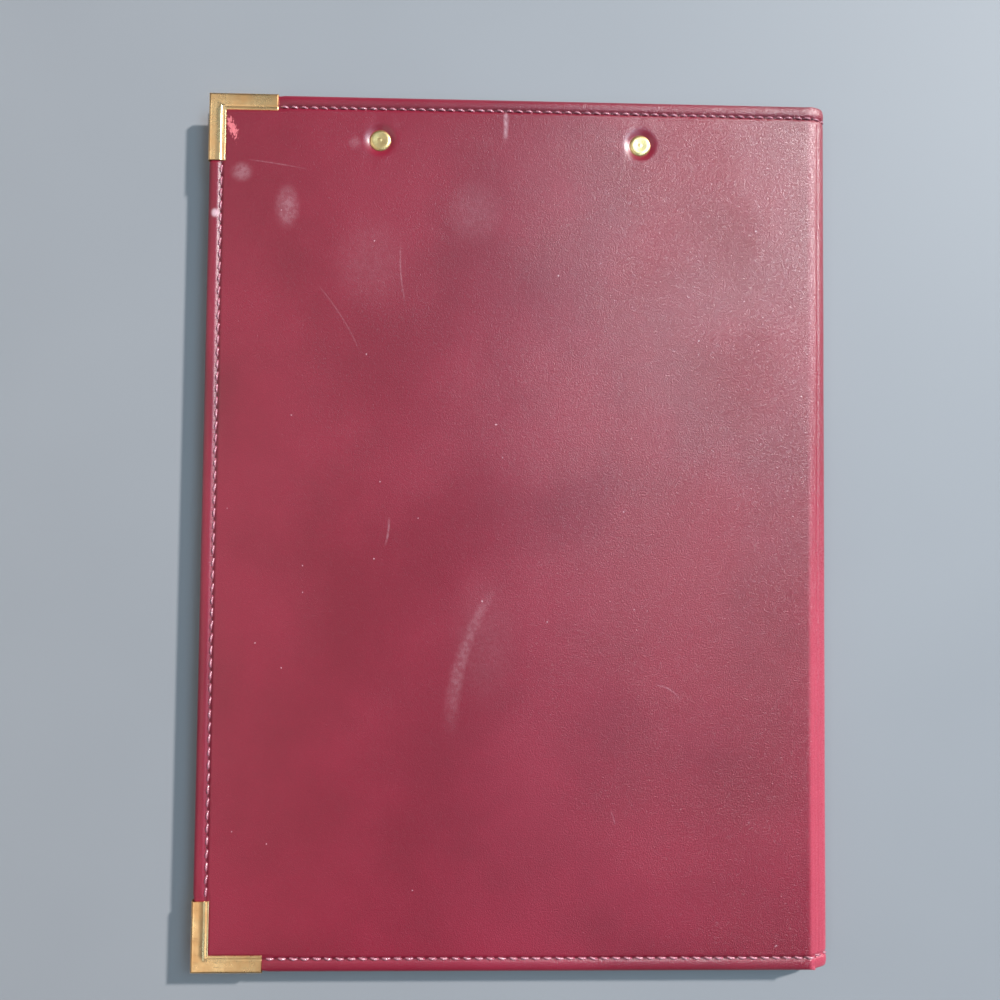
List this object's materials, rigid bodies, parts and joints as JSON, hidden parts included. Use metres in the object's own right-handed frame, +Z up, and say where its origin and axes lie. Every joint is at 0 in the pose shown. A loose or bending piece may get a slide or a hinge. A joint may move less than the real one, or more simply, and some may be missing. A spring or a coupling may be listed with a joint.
{
  "type": "clipboard portfolio",
  "caption": "A4 folder in stitched leatherette with metal fore-edge corners and a low sprung paper clip riveted inside its back cover; opens flat like a book.",
  "frame": {"origin": "middle of the surface that the closed folder rests on", "axes": "+Z up out of the back cover, +Y along the spine to the clip end, +X across the covers to the spine"},
  "size_m": [0.2322, 0.3204, 0.011],
  "materials": {
    "leatherette": "embossed burgundy leatherette, semi-gloss, lightly scuffed",
    "lining": "matt burgundy lining sheet",
    "board": "raw greyboard",
    "corner_brass": "pressed thin brass plate, satin, lightly worn",
    "rivet_brass": "polished turned brass",
    "clip_steel": "bright nickel-plated steel"
  },
  "bodies": {
    "front_cover": {"front_board": "board", "front_cover_skin": "leatherette", "front_lining": "lining", "front_pocket": "lining", "front_corner_top": "corner_brass", "front_corner_bottom": "corner_brass"},
    "spine": {"spine_skin": "leatherette", "spine_lining": "lining"},
    "back_cover": {"back_board": "board", "back_cover_skin": "leatherette", "back_lining": "lining", "back_corner_top": "corner_brass", "back_corner_bottom": "corner_brass", "clip_plate": "clip_steel", "clip_pin": "clip_steel", "clip_spring_left": "clip_steel", "clip_spring_right": "clip_steel", "rivet_left": "rivet_brass", "rivet_right": "rivet_brass"},
    "clip_jaw": {"clip_jaw": "clip_steel"}
  },
  "joints": [
    {"name": "front_fold", "type": "hinge", "parent": "front_cover", "child": "spine", "pos_m": [0.11498, 0, 0.00134], "axis": [0, 1, 0], "range_deg": [0, 90]},
    {"name": "back_fold", "type": "hinge", "parent": "spine", "child": "back_cover", "pos_m": [0.11498, 0, 0.00936], "axis": [0, 1, 0], "range_deg": [0, 90]},
    {"name": "jaw_hinge", "type": "hinge", "parent": "back_cover", "child": "clip_jaw", "pos_m": [-0.00343, 0.1435, 0.00575], "axis": [1, 0, 0], "range_deg": [0, 6], "stiffness_Nm_per_rad": 1, "springref_deg": -17.19, "deforming": ["clip_spring_left", "clip_spring_right"]}
  ]
}
